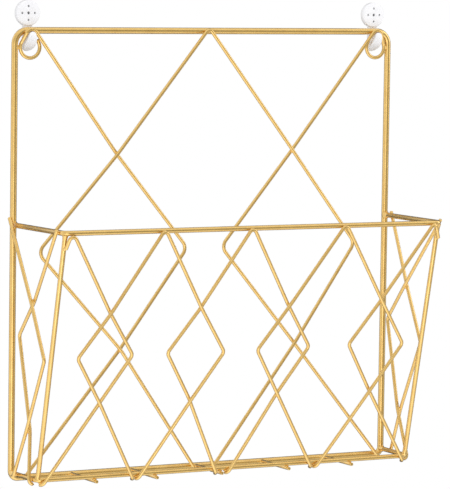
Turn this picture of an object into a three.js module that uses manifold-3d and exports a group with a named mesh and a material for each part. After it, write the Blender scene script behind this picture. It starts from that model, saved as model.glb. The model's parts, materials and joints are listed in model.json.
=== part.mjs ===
import * as THREE from 'three';
import { mergeVertices } from 'three/addons/utils/BufferGeometryUtils.js';
import Module from 'manifold-3d';

const solids = await Module();
solids.setup();

// A wall file holder of bent wire, hung on two round nail-on hooks.
// All sizes are in millimetres. X runs to the right, Y into the wall, Z up.
// The origin lies on the wall, midway between the two hooks, at the height of their round heads.
// Places on the rack are given as x, depth in front of the back frame, and drop below its top bar.

// Clearance left between pieces that touch or are welded
const jointGap = 0.3;

// Wire thicknesses
const frameWireRadius = 2.4;
const rimWireRadius = 1.9;
const railWireRadius = 1.75;
const postWireRadius = 1.75;
const latticeWireRadius = 1.3;

// Back frame, measured between wire centres
const frameWidth = 315;
const frameHeight = 326.5;
const frameTopBendRadius = 10;
const frameFootBendRadius = 5;

// Pocket, measured between wire centres
const pocketInset = 1.5;
const rimDrop = 141;
const rimDepth = 83;
const floorDepth = 41;
const floorRise = 3.9;
const pocketBendRadius = 4;
const floorWireOverhang = 2;

// Back lattice, reaches measured from the middle and drops from the top bar
const backCrossingReach = 74;
const backUpperCrossingDrop = 90.1;
const backBendDrop = 161.3;
const backLowerCrossingDrop = 235.7;
const backInnerBendReach = 14.5;
const backMiddleBendInset = 23.7;
const backOuterFootInset = 6.5;
const backMiddleFootSpread = 8;
const backBendRadius = 7;
const footOverhang = 1;

// Pointed tops of the bent lattice wires
const peakBendRadius = 2.8;
const peakRise = 2.3;

// Front lattice, falls measured below the rim
const frontLatticeInset = 6;
const frontUpperCrossingFall = 57.2;
const frontBendFall = 89.9;
const frontLowerCrossingFall = 125.3;
const frontBendReach = 22.7;
const latticeBendRadius = 4;
const middleFootSlack = 1.4;
const endFootReach = 2;
const shortLegDrop = 11;
const footTurn = THREE.MathUtils.degToRad(75);
const footTail = 0.6;

// Side lattice, falls measured below the rim
const sideUpperCrossingFall = 52.7;
const sideUpperCrossingDepth = 33.5;
const sideBackBendFall = 79.5;
const sideBackBendDepth = 9.4;
const sideFrontBendFall = 93.3;
const sideFrontBendInset = 6;
const sideLowerCrossingFall = 147.1;
const sideLowerCrossingDepth = 27.6;
const sideFootDepth = 36.2;
const sideBackFootDepth = 10.5;
const sideWireDip = 1.2;
const sideWireRise = 5.5;
const sideWireTopDepth = 2;

// How far hand-bent places stand to the right of the even layout
const backUpperCrossingShift = -2.4;
const backLowerCrossingShift = 1.9;
const backMiddleBendShift = -7;
const backOuterBendShift = -2;
const backOuterFootShift = 1.5;
const frontNodeShifts = [-1.5, -2.8, -6, -2.8, -0.6];
const frontModuleShifts = [-2.5, -4, -6, -1.5];
const floorWireShifts = [-4.5, -7.5, -6, -1.5, 0.5];

// Hanging eyes curled into the upper ends of the outer back wires
const eyeTopRadius = 4.3;
const eyeRoundRadius = 7.7;
const eyeDrop = 20;
const eyeRise = 0.8;
const eyeTailDrop = 6.5;

// Wall hooks
const hookHeadRadius = 9.4;
const hookHeadThickness = 4;
const hookHeadEdge = 0.9;
const hookHeadDrop = 12.5;
const hookStemWidth = 7;
const hookStemThickness = 3;
const hookReach = 12;
const hookNoseRadius = 4.5;
const hookNoseDrop = 15.2;
const hookNoseBelly = 9;
const hookTipHeight = 1.4;

// Nails through the hook heads
const nailRadius = 0.55;
const middleNailRadius = 0.8;
const nailSpacing = 5;
const outerNailCount = 4;
const nailSink = 0.6;
const nailDome = 0.25;

// Fineness of the round surfaces
const frameSides = 16;
const rimSides = 14;
const latticeSides = 12;
const bendStep = THREE.MathUtils.degToRad(18);
const headSegments = 40;
const headEdgeSteps = 4;
const nailSegments = 12;
const nailDomeSteps = 2;
const curveSegments = 12;
const weldTolerance = 0.0001;

// Sizes that follow from the ones above
const halfWidth = frameWidth / 2;
const railDrop = frameHeight - floorRise;
const panelHeight = railDrop - rimDrop;
const pocketHalf = halfWidth - pocketInset;
const moduleCount = frontModuleShifts.length;
const moduleWidth = 2 * (pocketHalf - frontLatticeInset) / moduleCount;
const floorWireSpacing = frameWidth / (floorWireShifts.length + 1);
const postInset = pocketBendRadius * (1 - Math.SQRT1_2);
const postX = pocketHalf - postInset;
const backLap = frameWireRadius + jointGap + latticeWireRadius;
const rimLap = rimWireRadius + jointGap + latticeWireRadius;
const railLap = railWireRadius + jointGap + latticeWireRadius;
const postLap = postWireRadius + jointGap + latticeWireRadius;
const wireLap = 2 * latticeWireRadius + jointGap;
const pairFootSpread = wireLap / 2;
const middleFootSpread = wireLap + middleFootSlack;
const eyeCentre = halfWidth - backLap - eyeRoundRadius;
const wallStandOff = hookStemThickness + jointGap + frameWireRadius;

// Makes a point on the rack
function at(x, depth, drop) {
  return new THREE.Vector3(x, -depth, -drop);
}

// Depth of the leaning front panel at a fall below the rim
function panelDepth(fall) {
  return rimDepth - (rimDepth - floorDepth) * fall / panelHeight;
}

// Unit vector down the leaning front panel
function panelFall() {
  return at(0, floorDepth - rimDepth, panelHeight).normalize();
}

// Unit vector straight out of the leaning front panel
function panelOut() {
  return new THREE.Vector3(1, 0, 0).cross(panelFall()).negate().normalize();
}

// Makes a point on the front panel, lifted off it by the lap of a wire
function onPanel(x, fall, lift) {
  const spot = at(x, panelDepth(fall), rimDrop + fall);
  return spot.addScaledVector(panelOut(), lift);
}

// A bent wire's centre line, followed from station to station
class BentWire extends THREE.Curve {
  constructor(stations) {
    super();
    this.stations = stations;
    this.steps = stations.length - 1;
  }

  getPoint(share, target = new THREE.Vector3()) {
    const place = share * this.steps;
    const first = Math.min(Math.floor(place), this.steps - 1);
    return target.lerpVectors(this.stations[first], this.stations[first + 1], place - first);
  }

  getPointAt(share, target = new THREE.Vector3()) {
    return this.getPoint(share, target);
  }

  getTangentAt(share, target = new THREE.Vector3()) {
    const index = Math.round(share * this.steps);
    const before = this.direction(Math.max(index - 1, 0));
    const after = this.direction(Math.min(index, this.steps - 1));
    return target.addVectors(before, after).normalize();
  }

  direction(index) {
    const along = new THREE.Vector3();
    return along.subVectors(this.stations[index + 1], this.stations[index]).normalize();
  }
}

// Rounds one corner of a wire and lists the stations along the bend
function roundCorner(before, corner, after, radius) {
  const inward = new THREE.Vector3().subVectors(corner, before).normalize();
  const outward = new THREE.Vector3().subVectors(after, corner).normalize();
  const turn = inward.angleTo(outward);
  const reach = radius * Math.tan(turn / 2);
  const start = corner.clone().addScaledVector(inward, -reach);
  const towardCentre = outward.clone().addScaledVector(inward, -inward.dot(outward)).normalize();
  const centre = start.clone().addScaledVector(towardCentre, radius);
  const count = Math.ceil(turn / bendStep);
  const stations = [];
  for (let i = 0; i <= count; i += 1) {
    const angle = turn * i / count;
    const spot = centre.clone();
    spot.addScaledVector(towardCentre, -radius * Math.cos(angle));
    spot.addScaledVector(inward, radius * Math.sin(angle));
    stations.push(spot);
  }
  return stations;
}

// Lists the stations of a wire through corners, each written as a point and its bend radius
function bend(corners) {
  const stations = [corners[0].point];
  for (let i = 1; i < corners.length - 1; i += 1) {
    const { point, radius } = corners[i];
    if (radius === 0) {
      stations.push(point);
    } else {
      stations.push(...roundCorner(corners[i - 1].point, point, corners[i + 1].point, radius));
    }
  }
  stations.push(corners[corners.length - 1].point);
  return stations;
}

// Names a corner of a wire
function corner(point, radius = 0) {
  return { point, radius };
}

// Makes the round section of a wire
function wireSection(radius, sides) {
  const points = [];
  for (let i = 0; i < sides; i += 1) {
    const angle = 2 * Math.PI * i / sides;
    points.push(new THREE.Vector2(radius * Math.cos(angle), radius * Math.sin(angle)));
  }
  return new THREE.Shape(points);
}

// Merges equal corner points and drops triangles that shrink to a line
function weld(geometry) {
  geometry.deleteAttribute('normal');
  geometry.deleteAttribute('uv');
  geometry.clearGroups();
  const merged = mergeVertices(geometry, weldTolerance);
  const index = merged.getIndex().array;
  const kept = [];
  for (let i = 0; i < index.length; i += 3) {
    const [a, b, c] = index.slice(i, i + 3);
    if (a !== b && b !== c && c !== a) {
      kept.push(a, b, c);
    }
  }
  merged.setIndex(kept);
  return merged;
}

// Draws a wire with two cut ends along its stations
function openWire(stations, radius, sides) {
  const path = new BentWire(stations);
  const options = { steps: path.steps, extrudePath: path, bevelEnabled: false };
  return weld(new THREE.ExtrudeGeometry(wireSection(radius, sides), options));
}

// Draws a wire whose ends meet, so that it has no cut ends
function closedWire(stations, radius, sides) {
  const path = new BentWire(stations);
  const options = { steps: path.steps, extrudePath: path, bevelEnabled: false };
  const drawn = new THREE.ExtrudeGeometry(wireSection(radius, sides), options);
  const wall = drawn.groups.find((group) => group.materialIndex === 1);
  const positions = drawn.getAttribute('position').array;
  const from = wall.start * 3;
  const ring = new THREE.BufferGeometry();
  const side = positions.slice(from, from + wall.count * 3);
  ring.setAttribute('position', new THREE.BufferAttribute(side, 3));
  return weld(ring);
}

// Turns a drawn shape into a solid that can be cut and joined
function solid(geometry) {
  const welded = weld(geometry);
  const vertProperties = new Float32Array(welded.getAttribute('position').array);
  const triVerts = new Uint32Array(welded.getIndex().array);
  return new solids.Manifold(new solids.Mesh({ numProp: 3, vertProperties, triVerts }));
}

// Turns a solid back into a drawn shape
function drawn(body) {
  const mesh = body.getMesh();
  const geometry = new THREE.BufferGeometry();
  const positions = new Float32Array(mesh.vertProperties);
  geometry.setAttribute('position', new THREE.BufferAttribute(positions, mesh.numProp));
  geometry.setIndex(Array.from(mesh.triVerts));
  return geometry;
}

// Satin gold finish of every wire
function goldMetal() {
  return new THREE.MeshStandardMaterial({ color: 0xd9ae62, metalness: 0.85, roughness: 0.34 });
}

// White plastic of the hooks
function whitePlastic() {
  return new THREE.MeshStandardMaterial({ color: 0xf2f2f4, metalness: 0, roughness: 0.42 });
}

// Plain steel of the nails
function nailSteel() {
  return new THREE.MeshStandardMaterial({ color: 0x8f9196, metalness: 0.9, roughness: 0.4 });
}

// Names a shape and gives it its finish
function piece(name, geometry, material) {
  const mesh = new THREE.Mesh(geometry, material);
  mesh.name = name;
  return mesh;
}

// Names a wire of the lattice
function latticePiece(name, corners) {
  return piece(name, openWire(bend(corners), latticeWireRadius, latticeSides), goldMetal());
}

// The closed rectangle of thick wire at the back
function backFrame() {
  const stations = bend([
    corner(at(0, 0, frameHeight)),
    corner(at(halfWidth, 0, frameHeight), frameFootBendRadius),
    corner(at(halfWidth, 0, 0), frameTopBendRadius),
    corner(at(-halfWidth, 0, 0), frameTopBendRadius),
    corner(at(-halfWidth, 0, frameHeight), frameFootBendRadius),
    corner(at(0, 0, frameHeight)),
  ]);
  return piece('back_frame', closedWire(stations, frameWireRadius, frameSides), goldMetal());
}

// A U of wire that runs forward from one post, across the front and back to the other
function pocketLoop(name, depth, drop, radius) {
  const back = frameWireRadius + jointGap;
  const stations = bend([
    corner(at(-halfWidth, back, drop)),
    corner(at(-pocketHalf, depth, drop), pocketBendRadius),
    corner(at(pocketHalf, depth, drop), pocketBendRadius),
    corner(at(halfWidth, back, drop)),
  ]);
  return piece(name, openWire(stations, radius, rimSides), goldMetal());
}

// The upper place where a back wire passes its neighbour
function backUpperCrossing(side, lap) {
  return at(side * backCrossingReach + backUpperCrossingShift, lap, backUpperCrossingDrop);
}

// The lower place where a back wire passes its neighbour
function backLowerCrossing(side, lap) {
  return at(side * backCrossingReach + backLowerCrossingShift, lap, backLowerCrossingDrop);
}

// The pointed middle back wire, which passes in front of the two outer ones
function backMiddleWire() {
  const front = backLap + wireLap;
  const bendX = halfWidth - backMiddleBendInset;
  const bendAt = (side) => at(side * bendX + backMiddleBendShift, front, backBendDrop);
  const footAt = (side) => at(side * backMiddleFootSpread, backLap, frameHeight + footOverhang);
  return latticePiece('back_wire_middle', [
    corner(footAt(-1)),
    corner(backLowerCrossing(-1, front)),
    corner(bendAt(-1), backBendRadius),
    corner(backUpperCrossing(-1, front)),
    corner(at(0, backLap, -peakRise), peakBendRadius),
    corner(backUpperCrossing(1, front)),
    corner(bendAt(1), backBendRadius),
    corner(backLowerCrossing(1, front)),
    corner(footAt(1)),
  ]);
}

// Lists an arc of the hanging eye, seen from the front
function eyeArc(side, centreDrop, radius, fromAngle, toAngle, depth) {
  const count = Math.ceil(Math.abs(toAngle - fromAngle) / bendStep);
  const stations = [];
  for (let i = 0; i <= count; i += 1) {
    const angle = fromAngle + (toAngle - fromAngle) * i / count;
    const x = -eyeCentre + radius * Math.cos(angle);
    const drop = centreDrop - radius * Math.sin(angle);
    stations.push(at(-side * x, depth, drop));
  }
  return stations;
}

// Stations of the pear-shaped eye, from the wire's last straight run to its tucked-in end
function eyeStations(side, from) {
  const topDrop = eyeTopRadius - eyeRise;
  const roundDrop = eyeDrop - eyeRoundRadius;
  const lean = Math.asin((eyeRoundRadius - eyeTopRadius) / (roundDrop - topDrop));
  const tuckDepth = backLap - wireLap;
  const across = eyeCentre - side * from.x;
  const down = from.z + topDrop;
  const meets = Math.atan2(down, across) + Math.acos(eyeTopRadius / Math.hypot(down, across));
  const leaves = Math.PI - lean;
  const top = eyeArc(side, topDrop, eyeTopRadius, meets, leaves, backLap);
  const round = eyeArc(side, roundDrop, eyeRoundRadius, leaves, 2 * Math.PI + lean, tuckDepth);
  const end = round[round.length - 1].clone();
  const rise = -eyeTailDrop - end.z;
  end.z += rise;
  end.x += side * rise * Math.tan(lean);
  return [...top, ...round, end];
}

// An outer back wire, curled at its upper end into a hanging eye
function backOuterWire(name, side) {
  const footX = side * (halfWidth - backOuterFootInset) + backOuterFootShift;
  const bendX = side * backInnerBendReach + backOuterBendShift;
  const upperCrossing = backUpperCrossing(side, backLap);
  const stations = bend([
    corner(at(footX, backLap, frameHeight + footOverhang)),
    corner(backLowerCrossing(side, backLap)),
    corner(at(bendX, backLap, backBendDrop), backBendRadius),
    corner(upperCrossing),
  ]);
  stations.push(...eyeStations(side, upperCrossing));
  return piece(name, openWire(stations, latticeWireRadius, latticeSides), goldMetal());
}

// Corners of a foot that turns in under the rail it has passed
// tipAt gives the place beside the rail for a lap, plumb the way a wire at right angles to it falls
function foot(from, tipAt, plumb, out) {
  const aim = new THREE.Vector3().subVectors(tipAt(railLap), from).normalize();
  const slant = aim.dot(plumb);
  const grip = railLap / slant;
  const reach = grip * Math.tan(footTurn / 2);
  const tail = reach + footTail;
  const sideways = aim.addScaledVector(plumb, -slant).addScaledVector(out, -aim.dot(out));
  const seat = tipAt(grip).addScaledVector(sideways, -reach - tail * Math.cos(footTurn));
  const fall = new THREE.Vector3().subVectors(seat, from).normalize();
  const turnPoint = seat.clone().addScaledVector(fall, reach);
  const end = turnPoint.clone();
  end.addScaledVector(fall, tail * Math.cos(footTurn));
  end.addScaledVector(out, -tail * Math.sin(footTurn));
  return [corner(turnPoint, grip), corner(end)];
}

// X of the node between two diamonds, counted from the left end
function nodeX(index) {
  return frontLatticeInset - pocketHalf + index * moduleWidth + frontNodeShifts[index];
}

// X of the middle of a diamond, counted from the left end
function moduleX(index) {
  return frontLatticeInset - pocketHalf + (index + 0.5) * moduleWidth + frontModuleShifts[index];
}

// One leg of a front wire, from below its peak down to its foot, through the diamond on one side
function frontLeg(index, side, over, spread) {
  const middle = moduleX(side > 0 ? index : index - 1);
  const lift = over ? rimLap + wireLap : rimLap;
  const lower = onPanel(middle, frontLowerCrossingFall, lift);
  const tipAt = (lap) => onPanel(nodeX(index) + side * spread, panelHeight, lap);
  return [
    corner(onPanel(middle, frontUpperCrossingFall, lift)),
    corner(onPanel(middle + side * frontBendReach, frontBendFall, lift), latticeBendRadius),
    corner(lower),
    ...foot(lower, tipAt, panelFall(), panelOut()),
  ];
}

// A front wire with two legs that hangs from its peak on the rim
function frontPairWire(name, index, over, spread) {
  const peak = onPanel(nodeX(index), -peakRise, rimLap);
  const left = frontLeg(index, -1, over, spread).reverse();
  const right = frontLeg(index, 1, over, spread);
  return latticePiece(name, [...left, corner(peak, peakBendRadius), ...right]);
}

// A front wire at one end of the lattice, with a short leg that lies on the corner post
function frontEndWire(name, index, side) {
  const peak = onPanel(nodeX(index), -peakRise, rimLap);
  const onPost = postLap + postInset * panelOut().y;
  const short = onPanel(-side * postX, shortLegDrop, onPost);
  const leg = frontLeg(index, side, false, -endFootReach);
  return latticePiece(name, [corner(short), corner(peak, peakBendRadius), ...leg]);
}

// A post at a front corner, between the rim above and the rail below
function cornerPost(name, side) {
  const top = rimWireRadius + jointGap;
  const end = panelHeight - railWireRadius - jointGap;
  const postAt = (fall) => at(side * postX, panelDepth(fall) - postInset, rimDrop + fall);
  const shape = openWire([postAt(top), postAt(end)], postWireRadius, latticeSides);
  return piece(name, shape, goldMetal());
}

// Makes a point beside the pocket's side, lifted off it by the lap of a wire
function besidePocket(side, depth, fall, lift) {
  const x = halfWidth - pocketInset * depth / panelDepth(fall);
  return at(side * (x + lift), depth, rimDrop + fall);
}

// The side wire that starts at the front corner, bends near the post and hooks under the rail
function sideInnerWire(name, side) {
  const topDepth = rimDepth - pocketBendRadius - latticeWireRadius;
  const tipAt = (lap) => besidePocket(side, sideFootDepth, panelHeight, lap);
  const lower = besidePocket(side, sideLowerCrossingDepth, sideLowerCrossingFall, -sideWireDip);
  return latticePiece(name, [
    corner(besidePocket(side, topDepth, -rimWireRadius, rimLap)),
    corner(besidePocket(side, sideUpperCrossingDepth, sideUpperCrossingFall, -sideWireDip)),
    corner(besidePocket(side, sideBackBendDepth, sideBackBendFall, -sideWireDip), latticeBendRadius),
    corner(lower),
    ...foot(lower, tipAt, new THREE.Vector3(0, 0, -1), new THREE.Vector3(side, 0, 0)),
  ]);
}

// The side wire that starts beside the back post and passes outside the other one
function sideOuterWire(name, side) {
  const lift = wireLap - sideWireDip;
  const bendDepth = panelDepth(sideFrontBendFall) - sideFrontBendInset;
  return latticePiece(name, [
    corner(at(side * (halfWidth + backLap), sideWireTopDepth, rimDrop - sideWireRise)),
    corner(besidePocket(side, sideUpperCrossingDepth, sideUpperCrossingFall, lift)),
    corner(besidePocket(side, bendDepth, sideFrontBendFall, lift), latticeBendRadius),
    corner(besidePocket(side, sideLowerCrossingDepth, sideLowerCrossingFall, lift)),
    corner(besidePocket(side, sideBackFootDepth, panelHeight + footOverhang, railLap)),
  ]);
}

// A wire of the pocket's floor, from the frame's foot bar to just ahead of the front rail
function floorWire(index) {
  const x = index * floorWireSpacing - halfWidth + floorWireShifts[index - 1];
  const drop = railDrop + railLap;
  const back = at(x, frameWireRadius + jointGap, drop);
  const front = at(x, floorDepth + railWireRadius + floorWireOverhang, drop);
  const shape = openWire([back, front], latticeWireRadius, latticeSides);
  return piece(`floor_wire_${index}`, shape, goldMetal());
}

// Turns a shape drawn from the front into a block that stands out from the wall
function fromFront(shape, thickness) {
  const options = { depth: thickness, bevelEnabled: false, curveSegments };
  return new THREE.ExtrudeGeometry(shape, options).rotateX(Math.PI / 2);
}

// Turns a shape drawn from the side, as distance from the wall and height, into a block
function fromSide(shape, width) {
  const options = { depth: width, bevelEnabled: false, curveSegments };
  const block = new THREE.ExtrudeGeometry(shape, options);
  const wallward = new THREE.Vector3(0, -1, 0);
  const upward = new THREE.Vector3(0, 0, 1);
  const sideways = new THREE.Vector3(-1, 0, 0);
  block.applyMatrix4(new THREE.Matrix4().makeBasis(wallward, upward, sideways));
  return block.translate(width / 2, 0, 0);
}

// Makes a round piece that stands out from the wall, from its radii and distances
function turned(profile, segments) {
  const points = profile.map(([radius, out]) => new THREE.Vector2(radius, -out));
  return new THREE.LatheGeometry(points, segments);
}

// The round head of a hook, with a softened front edge
function hookHead() {
  const flat = hookHeadRadius - hookHeadEdge;
  const edge = hookHeadThickness - hookHeadEdge;
  const profile = [[0, hookHeadThickness]];
  for (let i = headEdgeSteps; i >= 0; i -= 1) {
    const angle = Math.PI / 2 * i / headEdgeSteps;
    profile.push([flat + hookHeadEdge * Math.cos(angle), edge + hookHeadEdge * Math.sin(angle)]);
  }
  profile.push([hookHeadRadius, 0], [0, 0]);
  return solid(turned(profile, headSegments));
}

// The pear outline of the hook's nose, which follows the inside of the hanging eye
function nosePear() {
  const tipRadius = eyeTopRadius - latticeWireRadius - jointGap;
  const tipHeight = -hookHeadDrop - eyeTopRadius + eyeRise;
  const roundHeight = -hookHeadDrop - hookNoseDrop + hookNoseRadius;
  const lean = Math.asin((hookNoseRadius - tipRadius) / (tipHeight - roundHeight));
  const pear = new THREE.Shape();
  pear.absarc(0, tipHeight, tipRadius, lean, Math.PI - lean, false);
  pear.absarc(0, roundHeight, hookNoseRadius, Math.PI - lean, 2 * Math.PI + lean, false);
  return pear;
}

// The hook's nose from the side: a lip in front of the bar and a face that falls back to the wall
function noseProfile() {
  const top = -hookHeadDrop;
  const profile = new THREE.Shape();
  profile.moveTo(0, top);
  profile.lineTo(hookReach, top);
  const tip = top - eyeTopRadius + eyeRise + jointGap - hookTipHeight;
  profile.lineTo(hookReach, tip);
  const foot = top - hookNoseDrop;
  profile.quadraticCurveTo(hookNoseBelly, foot + hookNoseRadius, 0, foot - jointGap);
  return profile;
}

// The notch that the frame's top bar rests in
function barNotch(width) {
  const notch = new THREE.Shape();
  notch.absarc(wallStandOff, -hookHeadDrop, frameWireRadius + jointGap, 0, 2 * Math.PI, false);
  return solid(fromSide(notch, width));
}

// The nose that fills the hanging eye, with the notch behind its lip
function hookNose() {
  const width = 2 * (hookNoseRadius + jointGap);
  const pear = solid(fromFront(nosePear(), hookReach + jointGap));
  return solid(fromSide(noseProfile(), width)).intersect(pear).subtract(barNotch(width));
}

// The flat stem between a hook's head and its nose
function hookStem() {
  const half = hookStemWidth / 2;
  const foot = -hookHeadDrop - hookNoseDrop + hookNoseRadius;
  const stem = new THREE.Shape();
  stem.moveTo(-half, foot);
  stem.lineTo(half, foot);
  stem.lineTo(half, 0);
  stem.lineTo(-half, 0);
  return solid(fromFront(stem, hookStemThickness));
}

// Places of the nails on a hook's head
function nailPlaces() {
  const places = [{ x: 0, z: 0, radius: middleNailRadius }];
  for (let i = 0; i < outerNailCount; i += 1) {
    const angle = 2 * Math.PI * i / outerNailCount;
    const x = nailSpacing * Math.cos(angle);
    const z = nailSpacing * Math.sin(angle);
    places.push({ x, z, radius: nailRadius });
  }
  return places;
}

// The hole that a nail passes through
function nailHole(place) {
  const radius = place.radius + jointGap;
  const past = hookHeadThickness + jointGap;
  const profile = [[0, past], [radius, past], [radius, -jointGap], [0, -jointGap]];
  return solid(turned(profile, nailSegments)).translate([place.x, 0, place.z]);
}

// A white hook that holds the top bar away from the wall
function hook(name, side) {
  let body = hookHead().add(hookStem()).add(hookNose());
  for (const place of nailPlaces()) {
    body = body.subtract(nailHole(place));
  }
  const mesh = piece(name, drawn(body), whitePlastic());
  mesh.position.x = side * eyeCentre;
  return mesh;
}

// A nail through a hook's head, with a shallow domed end
function nail(name, side, place) {
  const profile = [];
  for (let i = 0; i <= nailDomeSteps; i += 1) {
    const share = i / nailDomeSteps;
    profile.push([place.radius * share, hookHeadThickness - nailSink - nailDome * share ** 2]);
  }
  profile.push([place.radius, 0], [0, 0]);
  const mesh = piece(name, weld(turned(profile, nailSegments)), nailSteel());
  mesh.position.set(side * eyeCentre + place.x, 0, place.z);
  return mesh;
}

// The hooks and their nails, fixed to the wall
function wallHooks() {
  const group = new THREE.Group();
  group.name = 'wall_hooks';
  for (const [word, side] of [['left', -1], ['right', 1]]) {
    group.add(hook(`hook_${word}`, side));
    nailPlaces().forEach((place, index) => {
      group.add(nail(`nail_${word}_${index + 1}`, side, place));
    });
  }
  return group;
}

// The wire rack, hung with its top bar in the notches of the hooks
function wireRack() {
  const group = new THREE.Group();
  group.name = 'wire_rack';
  group.add(backFrame());
  group.add(backMiddleWire());
  group.add(pocketLoop('pocket_rim', rimDepth, rimDrop, rimWireRadius));
  group.add(pocketLoop('floor_rail', floorDepth, railDrop, railWireRadius));
  for (const [word, side] of [['left', -1], ['right', 1]]) {
    group.add(backOuterWire(`back_wire_${word}`, side));
    group.add(cornerPost(`corner_post_${word}`, side));
    group.add(sideInnerWire(`side_wire_${word}_inner`, side));
    group.add(sideOuterWire(`side_wire_${word}_outer`, side));
  }
  group.add(frontEndWire('front_wire_1', 0, 1));
  for (let i = 1; i < moduleCount; i += 1) {
    const spread = i === moduleCount / 2 ? middleFootSpread : pairFootSpread;
    group.add(frontPairWire(`front_wire_${i + 1}`, i, i % 2 === 1, spread));
  }
  group.add(frontEndWire(`front_wire_${moduleCount + 1}`, moduleCount, -1));
  for (let i = 1; i <= floorWireShifts.length; i += 1) {
    group.add(floorWire(i));
  }
  group.position.set(0, -wallStandOff, -hookHeadDrop);
  return group;
}

const holder = new THREE.Group();
holder.name = 'wall_file_holder';
holder.add(wallHooks());
holder.add(wireRack());

export default holder;
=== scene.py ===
import json
import math
import bmesh
import bpy
import numpy as np
from mathutils import Matrix, Vector

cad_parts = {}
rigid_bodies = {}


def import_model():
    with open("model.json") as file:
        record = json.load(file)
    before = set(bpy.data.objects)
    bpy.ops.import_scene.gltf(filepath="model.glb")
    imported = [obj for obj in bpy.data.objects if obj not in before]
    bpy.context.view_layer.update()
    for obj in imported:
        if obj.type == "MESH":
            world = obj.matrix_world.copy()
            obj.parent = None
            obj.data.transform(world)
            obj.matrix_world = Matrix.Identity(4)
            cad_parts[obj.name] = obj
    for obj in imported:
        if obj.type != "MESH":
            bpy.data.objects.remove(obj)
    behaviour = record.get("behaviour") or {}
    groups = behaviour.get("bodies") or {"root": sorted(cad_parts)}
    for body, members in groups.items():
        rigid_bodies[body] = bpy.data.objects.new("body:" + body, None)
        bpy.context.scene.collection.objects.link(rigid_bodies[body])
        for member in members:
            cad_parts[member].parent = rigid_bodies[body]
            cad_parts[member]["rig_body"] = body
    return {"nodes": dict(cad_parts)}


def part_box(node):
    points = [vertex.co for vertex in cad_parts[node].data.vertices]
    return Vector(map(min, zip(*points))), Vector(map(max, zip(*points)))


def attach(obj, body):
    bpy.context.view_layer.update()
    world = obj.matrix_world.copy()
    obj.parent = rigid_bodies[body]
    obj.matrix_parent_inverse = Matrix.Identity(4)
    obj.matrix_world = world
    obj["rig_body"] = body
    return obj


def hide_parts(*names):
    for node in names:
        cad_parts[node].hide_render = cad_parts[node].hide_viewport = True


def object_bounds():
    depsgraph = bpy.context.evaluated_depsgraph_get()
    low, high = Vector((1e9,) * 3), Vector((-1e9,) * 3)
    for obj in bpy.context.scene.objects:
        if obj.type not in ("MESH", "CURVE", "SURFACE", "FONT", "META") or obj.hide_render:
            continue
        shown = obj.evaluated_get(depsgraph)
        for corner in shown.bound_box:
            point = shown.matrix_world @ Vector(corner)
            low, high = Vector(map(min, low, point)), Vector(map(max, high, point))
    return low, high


# Looks of a gold wire wall file holder on two white nail-on hooks.
# Everything is in metres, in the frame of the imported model.

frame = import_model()
cad_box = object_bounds()
nodes = frame["nodes"]

MM = 0.001

# Wires: radius, and number of sides of their solids' section
FRAME_WIRE = (2.4 * MM, 16)
RIM_WIRE = (1.9 * MM, 14)
RAIL_WIRE = (1.75 * MM, 14)
POST_WIRE = (1.75 * MM, 12)
LATTICE_WIRE = (1.3 * MM, 12)
THICK_WIRES = {
    "back_frame": FRAME_WIRE,
    "pocket_rim": RIM_WIRE,
    "floor_rail": RAIL_WIRE,
    "corner_post_left": POST_WIRE,
    "corner_post_right": POST_WIRE,
}

# Reading the solids: corners nearer to each other than SAME_PLACE are one, and faces
# that meet at less than FLAT_ANGLE, in radians, are one
SAME_PLACE = 1e-6
FLAT_ANGLE = 0.005

# Centre lines: runs up to SHORT_RUN belong to a bend, which gets a point at least every
# STEP_ANGLE. A kink between two longer runs is rounded over KINK_REACH to both sides.
SHORT_RUN = 5.5 * MM
STEP_ANGLE = math.radians(5)
KINK_REACH = 2.2 * MM

# Back frame: bend radii of its centre line, and degrees between two points of a bend
FOOT_BEND = 5 * MM
TOP_BEND = 10 * MM
FRAME_STEP = 5

# Round wires: sides, softening of a cut end as a share of the radius, and its steps
ROUND_SIDES = 24
CUT_ROUNDING = 0.3
CUT_STEPS = 3

# Length taken off the top end of the wire whose tip the photo hides in its weld
TIP_TRIMS = {"side_wire_right_outer": 3.2 * MM}

# Weld nuggets: widest gap that one fills, least distance between two on one pair of
# wires, and length, width and height as shares of the thinner wire's radius
WELD_GAP = 0.55 * MM
WELD_SPACING = 6 * MM
NUGGET_LENGTH, NUGGET_WIDTH, NUGGET_HEIGHT = 1.25, 1.0, 0.62

# Unevenness of the nuggets: share of their size, and how fast it changes along and across
NUGGET_WAVE = 0.06
RIPPLE_ALONG, RIPPLE_ACROSS = 5, 4

# Least slant between two runs that aren't taken as parallel, in metres to the fourth
LEAST_SLANT = 1e-18

# Weld collars where wires butt against another: flare beyond the wire's own radius,
# reach along the wire, root beyond its end, and taper as a share of the radius
COLLARS = {
    "pocket_rim": 1.3 * MM,
    "floor_rail": 1.0 * MM,
    "corner_post_left": 0.6 * MM,
    "corner_post_right": 0.6 * MM,
}
COLLAR_REACH = 3.6 * MM
COLLAR_ROOT = 1.1 * MM
COLLAR_STEPS = 8
COLLAR_TAPER = 0.03

# Hooks: width of the rounding, and the least angle of an edge that gets it
HOOK_EDGE = 0.25 * MM
HOOK_EDGE_ANGLE = math.radians(32)
HOOK_EDGE_STEPS = 3
NAILS_PER_HOOK = 5

# Colours, dark and light, and where in the noise they are reached
GOLD = ((0.76, 0.465, 0.090), (0.86, 0.555, 0.130))
PLASTIC = ((0.85, 0.85, 0.875), (0.89, 0.89, 0.91))
# The middle nail is the same steel as the outer ones; its darker greys are painted shade
MIDDLE_NAIL_PAINTED_SHADE = ((0.20,) * 3, (0.36,) * 3)
OUTER_NAIL = ((0.50,) * 3, (0.66,) * 3)
FLOOR = ((0.93,) * 3, (0.95,) * 3)
COLOUR_STOPS = (0.30, 0.70)
WHITE = (1, 1, 1, 1)

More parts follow.
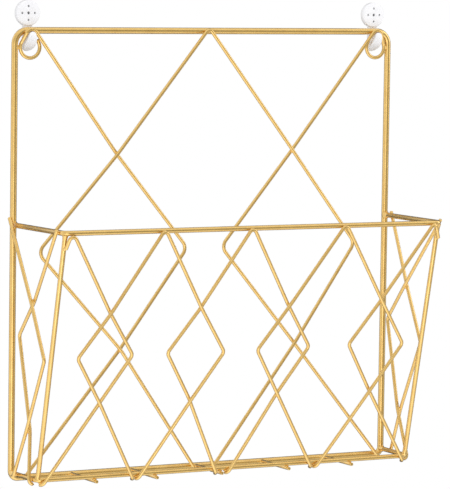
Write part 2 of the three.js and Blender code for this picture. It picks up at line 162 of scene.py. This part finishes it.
# Camera, as fitted to the photo: focal length and image height in pixels, sensor in mm
CAMERA_PLACE = (-1.1748, -2.1953, 0.0366)
CAMERA_YAW = math.radians(28.5765)
CAMERA_PITCH = math.radians(4.7983)
CAMERA_ROLL = math.radians(0.8056)
CAMERA_CLIP = (0.05, 50)
FOCAL_PIXELS = 3329.1
IMAGE_HEIGHT = 489
SENSOR = 36.0

# Surround: EVEN is its plain light and BRIGHT what glossy surfaces mirror of it. Each
# zone that they mirror has a direction, the angles in degrees of its core and of its
# edge, and its share of BRIGHT.
EVEN = 0.90
BRIGHT = 1.02
MIRRORED_ZONES = {
    "sheen_by_camera": ((-0.44, -0.88, -0.16), 6, 32, 1.18),
    "glow_of_table": ((-0.32, -0.60, -0.73), 16, 52, 1.38),
    "shade_in_front": ((0.16, -0.98, 0.09), 10, 38, 0.38),
    "shade_upper_left": ((-0.80, -0.45, 0.38), 12, 36, 0.64),
    "shade_right": ((0.72, -0.68, -0.16), 14, 42, 0.58),
    "shade_behind": ((0.48, 0.87, -0.08), 44, 71, 0.12),
    "glow_behind": ((-0.22, 0.90, 0.32), 6, 29, 2.1),
}

# What the lights aim at
MIDDLE = (0, 0, -0.15)
FOOT = (-0.05, 0, -0.30)

# Floor: depth below the holder, and reach to every side
FLOOR_DROP = 1.2
FLOOR_REACH = 3.0


def new_material(name):
    """A material with nothing but a shader and its output, as (material, tree, shader)."""
    material = bpy.data.materials.new(name)
    material.use_nodes = True
    tree = material.node_tree
    tree.nodes.clear()
    shader = tree.nodes.new("ShaderNodeBsdfPrincipled")
    output = tree.nodes.new("ShaderNodeOutputMaterial")
    tree.links.new(shader.outputs["BSDF"], output.inputs["Surface"])
    return material, tree, shader


def noise(tree, scale, detail, roughness=0.5):
    """Noise that keeps its size in metres on every piece."""
    place = tree.nodes.new("ShaderNodeTexCoord")
    texture = tree.nodes.new("ShaderNodeTexNoise")
    texture.inputs["Scale"].default_value = scale
    texture.inputs["Detail"].default_value = detail
    texture.inputs["Roughness"].default_value = roughness
    tree.links.new(place.outputs["Object"], texture.inputs["Vector"])
    return texture.outputs["Fac"]


def drift_colour(tree, shader, source, colours):
    """Base colour that drifts between two colours with a noise."""
    node = tree.nodes.new("ShaderNodeValToRGB")
    for element, position, colour in zip(node.color_ramp.elements, COLOUR_STOPS, colours):
        element.position = position
        element.color = (*colour, 1.0)
    tree.links.new(source, node.inputs["Fac"])
    tree.links.new(node.outputs["Color"], shader.inputs["Base Color"])


def drift_gloss(tree, shader, source, low, high):
    """Roughness that drifts between two values with a noise."""
    node = tree.nodes.new("ShaderNodeMapRange")
    node.inputs["To Min"].default_value = low
    node.inputs["To Max"].default_value = high
    tree.links.new(source, node.inputs["Value"])
    tree.links.new(node.outputs["Result"], shader.inputs["Roughness"])


def bump(tree, shader, source, strength, distance):
    """Fine relief from a height."""
    node = tree.nodes.new("ShaderNodeBump")
    node.inputs["Strength"].default_value = strength
    node.inputs["Distance"].default_value = distance
    tree.links.new(source, node.inputs["Height"])
    tree.links.new(node.outputs["Normal"], shader.inputs["Normal"])


def gold_material():
    """Satin gold coating: faint cloudiness, uneven gloss and orange-peel relief."""
    material, tree, shader = new_material("satin_gold")
    drift_colour(tree, shader, noise(tree, scale=90.0, detail=4.0, roughness=0.6), GOLD)
    gloss = noise(tree, scale=420.0, detail=3.0, roughness=0.55)
    drift_gloss(tree, shader, gloss, low=0.20, high=0.34)
    shader.inputs["Metallic"].default_value = 0.92
    shader.inputs["Coat Weight"].default_value = 0.9
    shader.inputs["Coat IOR"].default_value = 1.95
    shader.inputs["Coat Roughness"].default_value = 0.15
    peel = noise(tree, scale=1500.0, detail=2.0)
    bump(tree, shader, peel, strength=0.25, distance=0.06 * MM)
    return material


def plastic_material():
    """Smooth white moulded plastic with a faint cool cast."""
    material, tree, shader = new_material("white_plastic")
    drift_colour(tree, shader, noise(tree, scale=160.0, detail=3.0), PLASTIC)
    drift_gloss(tree, shader, noise(tree, scale=700.0, detail=2.0), low=0.26, high=0.38)
    grain = noise(tree, scale=2200.0, detail=2.0)
    bump(tree, shader, grain, strength=0.12, distance=0.04 * MM)
    return material


def steel_material(name, greys):
    """Nail steel in patches of two greys, with uneven gloss and fine grain."""
    material, tree, shader = new_material(name)
    drift_colour(tree, shader, noise(tree, scale=900.0, detail=4.0, roughness=0.6), greys)
    drift_gloss(tree, shader, noise(tree, scale=2500.0, detail=3.0), low=0.30, high=0.55)
    shader.inputs["Metallic"].default_value = 0.9
    grain = noise(tree, scale=5000.0, detail=2.0)
    bump(tree, shader, grain, strength=0.2, distance=0.03 * MM)
    return material


def floor_material():
    """Pale matt floor."""
    material, tree, shader = new_material("pale_floor")
    drift_colour(tree, shader, noise(tree, scale=6.0, detail=2.0), FLOOR)
    shader.inputs["Roughness"].default_value = 0.8
    return material


def paint(obj, material):
    """Gives an object one material."""
    obj.data.materials.clear()
    obj.data.materials.append(material)


def joined_mesh(node):
    """The node's mesh with equal corners joined."""
    work = bmesh.new()
    work.from_mesh(node.data)
    bmesh.ops.remove_doubles(work, verts=work.verts, dist=SAME_PLACE)
    return work


def flatten(work):
    """Makes faces whole that lie in one plane."""
    bmesh.ops.dissolve_limit(work, angle_limit=FLAT_ANGLE, verts=work.verts, edges=work.edges)


def smooth_mesh(name, work):
    """Turns the work into a mesh with smooth shading."""
    mesh = bpy.data.meshes.new(name)
    work.to_mesh(mesh)
    work.free()
    for face in mesh.polygons:
        face.use_smooth = True
    return mesh


def first_cut_end(node, sides):
    """Corners of one cut end of an open wire's solid."""
    work = joined_mesh(node)
    flatten(work)
    ends = [[v.co.copy() for v in f.verts] for f in work.faces if len(f.verts) == sides]
    work.free()
    if not ends:
        raise ValueError(f"{node.name} has no cut end")
    return min(ends, key=lambda corners: tuple(sum(corners, Vector())))


def wire_stations(node, sides):
    """Centres of the rings of an open wire's solid, from one cut end to the other."""
    start = first_cut_end(node, sides)
    work = joined_mesh(node)
    ring = {v for v in work.verts if min((v.co - c).length for c in start) < SAME_PLACE}
    seen = set(ring)
    stations = []
    while ring:
        if len(ring) != sides:
            raise ValueError(f"{node.name} has a ring of {len(ring)} corners")
        # A set's order can change from run to run, and the sum's last digit with it
        stations.append(sum((v.co for v in ring), Vector()) / len(ring))
        near = {edge.other_vert(v) for v in ring for edge in v.link_edges}
        ring = near - seen
        seen |= ring
    work.free()
    return stations


def station_way(before, after):
    """Direction of the wire at a station in or beside a bend, from its two runs."""
    if before.length > SHORT_RUN >= after.length:
        return before.normalized()
    if after.length > SHORT_RUN >= before.length:
        return after.normalized()
    return (before.normalized() + after.normalized()).normalized()


def bend_points(start, start_way, end, end_way):
    """Points of an even curve between two places, without the first one."""
    chord = (end - start).length
    turn = start_way.angle(end_way, 0.0)
    count = max(1, math.ceil(turn / STEP_ANGLE))
    if count == 1:
        return [end]
    # With this handle length the cubic curve follows a circle's arc
    handle = 2 * chord * math.tan(turn / 4) / (3 * math.sin(turn / 2))
    first = start + start_way * handle
    second = end - end_way * handle
    points = []
    for i in range(1, count + 1):
        t = i / count
        u = 1 - t
        points.append(
            start * u**3 + first * (3 * u * u * t) + second * (3 * u * t * t) + end * t**3
        )
    return points


def smooth_path(stations):
    """The wire's centre line with round bends and softly bent kinks."""
    marks = [(stations[0], (stations[1] - stations[0]).normalized())]
    for last, station, following in zip(stations, stations[1:], stations[2:]):
        before = station - last
        after = following - station
        if min(before.length, after.length) > SHORT_RUN:
            way_in = before.normalized()
            way_out = after.normalized()
            marks.append((station - way_in * KINK_REACH, way_in))
            marks.append((station + way_out * KINK_REACH, way_out))
        else:
            marks.append((station, station_way(before, after)))
    marks.append((stations[-1], (stations[-1] - stations[-2]).normalized()))
    path = [marks[0][0]]
    for (start, start_way), (end, end_way) in zip(marks, marks[1:]):
        if (end - start).length > SHORT_RUN:
            path.append(end)
        else:
            path.extend(bend_points(start, start_way, end, end_way))
    return path


def frame_path(node, radius):
    """The closed centre line of the back frame, from its box and bend radii."""
    low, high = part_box(node.name)
    depth = (low.y + high.y) / 2
    left, right = low.x + radius, high.x - radius
    foot, top = low.z + radius, high.z - radius
    corners = [
        (right - FOOT_BEND, foot + FOOT_BEND, -90, FOOT_BEND),
        (right - TOP_BEND, top - TOP_BEND, 0, TOP_BEND),
        (left + TOP_BEND, top - TOP_BEND, 90, TOP_BEND),
        (left + FOOT_BEND, foot + FOOT_BEND, 180, FOOT_BEND),
    ]
    path = []
    for x, z, start, bend in corners:
        for turn in range(0, 90 + FRAME_STEP, FRAME_STEP):
            angle = math.radians(start + turn)
            path.append(Vector((x + bend * math.cos(angle), depth, z + bend * math.sin(angle))))
    return path


def trim_tip(path, length):
    """Takes a length off the higher end of a wire's centre line."""
    turned = path[0].z > path[-1].z
    points = list(reversed(path)) if turned else list(path)
    while length > 0:
        last_run = points[-1] - points[-2]
        if last_run.length <= length:
            length -= last_run.length
            points.pop()
        else:
            points[-1] = points[-1] - last_run.normalized() * length
            length = 0
    return list(reversed(points)) if turned else points


def path_ways(path, closed):
    """Unit directions of a path at each of its points."""
    count = len(path)
    ways = []
    for i, point in enumerate(path):
        if closed:
            before, after = path[i - 1], path[(i + 1) % count]
        else:
            before, after = path[max(i - 1, 0)], path[min(i + 1, count - 1)]
        ways.append(((point - before).normalized() + (after - point).normalized()).normalized())
    return ways


def soften_ends(path, radius):
    """An open wire's path and ring sizes, with softened cut ends.

    Where the path's own last run is shorter than the softening, as at the feet of the
    inner side wires, the rings fold back over each other.
    """
    depth = radius * CUT_ROUNDING
    first_way = (path[1] - path[0]).normalized()
    last_way = (path[-1] - path[-2]).normalized()
    turns = [math.pi / 2 * i / CUT_STEPS for i in range(CUT_STEPS + 1)]
    starts = [path[0] + first_way * depth * (1 - math.cos(turn)) for turn in turns]
    ends = [path[-1] - last_way * depth * (1 - math.sin(turn)) for turn in turns]
    start_sizes = [radius - depth + depth * math.sin(turn) for turn in turns]
    end_sizes = [radius - depth + depth * math.cos(turn) for turn in turns]
    sizes = start_sizes + [radius] * (len(path) - 2) + end_sizes
    return starts + path[1:-1] + ends, sizes


def add_ring(work, centre, normal, side, size):
    """Corners of one round section."""
    angles = [2 * math.pi * k / ROUND_SIDES for k in range(ROUND_SIDES)]
    return [
        work.verts.new(centre + (normal * math.cos(angle) + side * math.sin(angle)) * size)
        for angle in angles
    ]


def skin_rings(work, rings, closed):
    """Faces from ring to ring, and over both ends if the piece is open."""
    pairs = list(zip(rings, rings[1:]))
    if closed:
        pairs.append((rings[-1], rings[0]))
    for one, two in pairs:
        for k in range(ROUND_SIDES):
            following = (k + 1) % ROUND_SIDES
            work.faces.new((one[k], one[following], two[following], two[k]))
    if not closed:
        work.faces.new(list(reversed(rings[0])))
        work.faces.new(rings[-1])


def tube_mesh(name, path, radius, closed):
    """A round wire along a path, with softened cut ends if it is open."""
    if closed:
        sizes = [radius] * len(path)
    else:
        path, sizes = soften_ends(path, radius)
    ways = path_ways(path, closed)
    # The closed frame lies flat on the wall, so the wall's normal suits all its rings
    normal = Vector((0, 1, 0)) if closed else ways[0].orthogonal().normalized()
    work = bmesh.new()
    rings = []
    last_way = ways[0]
    for point, way, size in zip(path, ways, sizes):
        normal = last_way.rotation_difference(way) @ normal
        normal = (normal - way * normal.dot(way)).normalized()
        rings.append(add_ring(work, point, normal, way.cross(normal), size))
        last_way = way
    skin_rings(work, rings, closed)
    bmesh.ops.recalc_face_normals(work, faces=work.faces)
    return smooth_mesh(name, work)


def add_piece(name, mesh, body, material):
    """Puts a mesh in the scene as a piece that rides on a body."""
    obj = bpy.data.objects.new(name, mesh)
    bpy.context.scene.collection.objects.link(obj)
    paint(obj, material)
    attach(obj, body)
    return obj


def closest_places(path_a, path_b):
    """For each run of one path and each run of another: gap, and closest point on both."""
    start_a, end_a = np.array(path_a[:-1]), np.array(path_a[1:])
    start_b, end_b = np.array(path_b[:-1]), np.array(path_b[1:])
    run_a = (end_a - start_a)[:, None, :]
    run_b = (end_b - start_b)[None, :, :]
    apart = start_a[:, None, :] - start_b[None, :, :]
    a_a = (run_a * run_a).sum(-1)
    b_b = (run_b * run_b).sum(-1)
    a_b = (run_a * run_b).sum(-1)
    a_apart = (run_a * apart).sum(-1)
    b_apart = (run_b * apart).sum(-1)
    slant = a_a * b_b - a_b * a_b
    slanted = slant > LEAST_SLANT
    share_a = (a_b * b_apart - a_apart * b_b) / np.where(slanted, slant, 1)
    share_a = np.clip(np.where(slanted, share_a, 0.5), 0, 1)
    share_b = np.clip((a_b * share_a + b_apart) / b_b, 0, 1)
    share_a = np.clip((a_b * share_b - a_apart) / a_a, 0, 1)
    on_a = start_a[:, None, :] + run_a * share_a[..., None]
    on_b = start_b[None, :, :] + run_b * share_b[..., None]
    return np.linalg.norm(on_a - on_b, axis=-1), on_a, on_b


def pair_welds(wire_a, wire_b):
    """Welds between two wires: (middle, way across, way a, way b, smaller radius)."""
    path_a, radius_a = wire_a
    path_b, radius_b = wire_b
    gaps, on_a, on_b = closest_places(path_a, path_b)
    near = zip(*np.nonzero(gaps < radius_a + radius_b + WELD_GAP))
    taken = []
    found = []
    for a, b in sorted(near, key=lambda runs: gaps[runs]):
        place_a = Vector(on_a[a, b])
        place_b = Vector(on_b[a, b])
        if any((place_a - other).length < WELD_SPACING for other in taken):
            continue
        taken.append(place_a)
        across = (place_b - place_a).normalized()
        spare = max(gaps[a, b] - radius_a - radius_b, 0.0)
        middle = place_a + across * (radius_a + spare / 2)
        way_a = (path_a[a + 1] - path_a[a]).normalized()
        way_b = (path_b[b + 1] - path_b[b]).normalized()
        found.append((middle, across, way_a, way_b, min(radius_a, radius_b)))
    return found


def weld_mesh(wires):
    """Small flattened weld nuggets that fill the crevices where two wires meet."""
    names = sorted(wires)
    places = []
    for i, name in enumerate(names):
        for other in names[i + 1:]:
            places += pair_welds(wires[name], wires[other])
    work = bmesh.new()
    for index, (middle, across, way_a, way_b, radius) in enumerate(places):
        if way_a.dot(way_b) < 0:
            way_b = -way_b
        long_way = (way_a + way_b).normalized()
        long_way = (long_way - across * long_way.dot(across)).normalized()
        wide_way = across.cross(long_way)
        basis = Matrix((
            long_way * radius * NUGGET_LENGTH,
            wide_way * radius * NUGGET_WIDTH,
            across * radius * NUGGET_HEIGHT,
        )).transposed()
        made = bmesh.ops.create_icosphere(work, subdivisions=3, radius=1.0)
        for vert in made["verts"]:
            along = math.sin(RIPPLE_ALONG * vert.co.x + index)
            sideways = math.cos(RIPPLE_ACROSS * vert.co.y + 2 * index)
            vert.co = middle + basis @ (vert.co * (1 + NUGGET_WAVE * along * sideways))
    return smooth_mesh("weld_beads", work)


def collar_mesh(wires):
    """Flared weld metal around the ends of wires that butt against another wire."""
    work = bmesh.new()
    for name, flare in COLLARS.items():
        path, radius = wires[name]
        for end, inner in ((path[0], path[1]), (path[-1], path[-2])):
            way = (inner - end).normalized()
            normal = way.orthogonal().normalized()
            rings = []
            for i in range(COLLAR_STEPS + 1):
                t = i / COLLAR_STEPS
                centre = end + way * (t * COLLAR_REACH - (1 - t) * COLLAR_ROOT)
                size = radius * (1 - COLLAR_TAPER * t) + flare * (1 - t) ** 2
                rings.append(add_ring(work, centre, normal, way.cross(normal), size))
            skin_rings(work, rings, closed=False)
    bmesh.ops.recalc_face_normals(work, faces=work.faces)
    return smooth_mesh("weld_collars", work)


def dress_wires(gold):
    """Draws every wire round and smooth over its solid, and the welds between them."""
    wires = {}
    for name, node in sorted(nodes.items()):
        if node["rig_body"] != "rack":
            continue
        radius, sides = THICK_WIRES.get(name, LATTICE_WIRE)
        closed = name == "back_frame"
        path = frame_path(node, radius) if closed else smooth_path(wire_stations(node, sides))
        path = trim_tip(path, TIP_TRIMS.get(name, 0))
        mesh = tube_mesh(name, path, radius, closed)
        obj = add_piece(f"{name}_wire", mesh, "rack", gold)
        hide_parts(name)
        wires[name] = (path + [path[0]] if closed else path, radius)
    add_piece("weld_beads", weld_mesh(wires), "rack", gold)
    add_piece("weld_collars", collar_mesh(wires), "rack", gold)


def soften_hook(name, plastic):
    """Replaces a hook's solid by a copy with rounded edges."""
    work = joined_mesh(nodes[name])
    flatten(work)
    mesh = smooth_mesh(f"{name}_soft", work)
    obj = add_piece(f"{name}_soft", mesh, "wall_hooks", plastic)
    edge = obj.modifiers.new("round_edges", "BEVEL")
    edge.width = HOOK_EDGE
    edge.segments = HOOK_EDGE_STEPS
    edge.limit_method = "ANGLE"
    edge.angle_limit = HOOK_EDGE_ANGLE
    edge.harden_normals = True
    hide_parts(name)


def dress_hooks(plastic, middle_steel_painted_shade, outer_steel):
    """Rounds the hooks' edges and gives the nails their steel, the middle nail's greys darkened
    as painted shade.
    """
    for word in ("left", "right"):
        soften_hook(f"hook_{word}", plastic)
        for index in range(1, NAILS_PER_HOOK + 1):
            # The middle nail gets the darker copy of the nail steel, as painted shade
            paint(nodes[f"nail_{word}_{index}"], middle_steel_painted_shade if index == 1 else outer_steel)


def camera_axes():
    """Right, up and forward of the photo's camera."""
    sy, cy = math.sin(CAMERA_YAW), math.cos(CAMERA_YAW)
    sp, cp = math.sin(CAMERA_PITCH), math.cos(CAMERA_PITCH)
    sr, cr = math.sin(CAMERA_ROLL), math.cos(CAMERA_ROLL)
    forward = Vector((sy * cp, cy * cp, -sp))
    level = Vector((cy, -sy, 0))
    plumb = level.cross(forward)
    return level * cr + plumb * sr, plumb * cr - level * sr, forward


def add_camera():
    """The camera at the photo's place, with its framing."""
    right, up, forward = camera_axes()
    data = bpy.data.cameras.new("camera")
    data.sensor_width = SENSOR
    data.lens = FOCAL_PIXELS / IMAGE_HEIGHT * SENSOR
    data.clip_start, data.clip_end = CAMERA_CLIP
    obj = bpy.data.objects.new("camera", data)
    turn = Matrix((right, up, -forward)).transposed()
    obj.matrix_world = Matrix.Translation(CAMERA_PLACE) @ turn.to_4x4()
    bpy.context.scene.collection.objects.link(obj)
    bpy.context.scene.camera = obj


def add_light(name, place, target, size, power, mirrored=True):
    """A soft square light aimed at a place, which glossy surfaces mirror or not."""
    data = bpy.data.lights.new(name, "AREA")
    data.shape = "SQUARE"
    data.size = size
    data.energy = power
    obj = bpy.data.objects.new(name, data)
    obj.visible_glossy = mirrored
    obj.visible_camera = False
    obj.location = place
    way = Vector(target) - Vector(place)
    obj.rotation_mode = "QUATERNION"
    obj.rotation_quaternion = way.to_track_quat("-Z", "Y")
    bpy.context.scene.collection.objects.link(obj)


def zone_share(tree, direction, way, core, edge, level):
    """Share of light around a direction: a level inside the core, 1 past the edge."""
    toward = tree.nodes.new("ShaderNodeVectorMath")
    toward.operation = "DOT_PRODUCT"
    toward.inputs[1].default_value = Vector(way).normalized()
    share = tree.nodes.new("ShaderNodeMapRange")
    share.interpolation_type = "SMOOTHSTEP"
    share.inputs["From Min"].default_value = math.cos(math.radians(edge))
    share.inputs["From Max"].default_value = math.cos(math.radians(core))
    share.inputs["To Min"].default_value = 1.0
    share.inputs["To Max"].default_value = level
    tree.links.new(direction, toward.inputs[0])
    tree.links.new(toward.outputs["Value"], share.inputs["Value"])
    return share.outputs["Result"]


def mirrored_strength(tree):
    """What glossy surfaces mirror in each direction: BRIGHT times every zone's share."""
    direction = tree.nodes.new("ShaderNodeTexCoord").outputs["Generated"]
    strength = None
    for zone in MIRRORED_ZONES.values():
        product = tree.nodes.new("ShaderNodeMath")
        product.operation = "MULTIPLY"
        tree.links.new(zone_share(tree, direction, *zone), product.inputs[0])
        if strength:
            tree.links.new(strength, product.inputs[1])
        else:
            product.inputs[1].default_value = BRIGHT
        strength = product.outputs["Value"]
    return strength


def add_surround():
    """Surround that is white to the camera, zoned to glossy rays and even to the others."""
    world = bpy.data.worlds.new("surround")
    bpy.context.scene.world = world
    world.use_nodes = True
    tree = world.node_tree
    tree.nodes.clear()
    path = tree.nodes.new("ShaderNodeLightPath")
    strength = tree.nodes.new("ShaderNodeMix")
    strength.data_type = "FLOAT"
    strength.inputs["A"].default_value = EVEN
    seen = tree.nodes.new("ShaderNodeBackground")
    seen.inputs["Color"].default_value = WHITE
    lit = tree.nodes.new("ShaderNodeBackground")
    lit.inputs["Color"].default_value = WHITE
    mix = tree.nodes.new("ShaderNodeMixShader")
    output = tree.nodes.new("ShaderNodeOutputWorld")
    tree.links.new(path.outputs["Is Glossy Ray"], strength.inputs["Factor"])
    tree.links.new(mirrored_strength(tree), strength.inputs["B"])
    tree.links.new(strength.outputs["Result"], lit.inputs["Strength"])
    tree.links.new(path.outputs["Is Camera Ray"], mix.inputs["Fac"])
    tree.links.new(lit.outputs["Background"], mix.inputs[1])
    tree.links.new(seen.outputs["Background"], mix.inputs[2])
    tree.links.new(mix.outputs["Shader"], output.inputs["Surface"])


def add_floor():
    """A plain pale floor below the holder, which the wires don't mirror."""
    level = cad_box[0].z - FLOOR_DROP
    corners = ((-1, -1), (1, -1), (1, 1), (-1, 1))
    mesh = bpy.data.meshes.new("floor")
    mesh.from_pydata([(x * FLOOR_REACH, y * FLOOR_REACH, level) for x, y in corners],
                     [], [(0, 1, 2, 3)])
    obj = bpy.data.objects.new("floor", mesh)
    bpy.context.scene.collection.objects.link(obj)
    paint(obj, floor_material())
    obj.visible_glossy = False


dress_wires(gold_material())
# The middle nail's steel is the outer nails' steel with darker greys, as painted shade
dress_hooks(plastic_material(), steel_material("middle_nail_painted_shade_steel", MIDDLE_NAIL_PAINTED_SHADE),
            steel_material("outer_nail_steel", OUTER_NAIL))
add_surround()
add_floor()
add_light("key", (-1.6, -1.0, 1.5), MIDDLE, size=0.9, power=6, mirrored=False)
add_light("fill", (1.5, -0.6, 0.4), MIDDLE, size=1.0, power=4)
add_light("low", (-0.6, -1.1, -0.5), FOOT, size=0.5, power=0.6)
add_light("face", (0.5, -1.8, 0.5), MIDDLE, size=1.2, power=5, mirrored=False)
add_camera()
bpy.context.scene.view_settings.view_transform = "Standard"
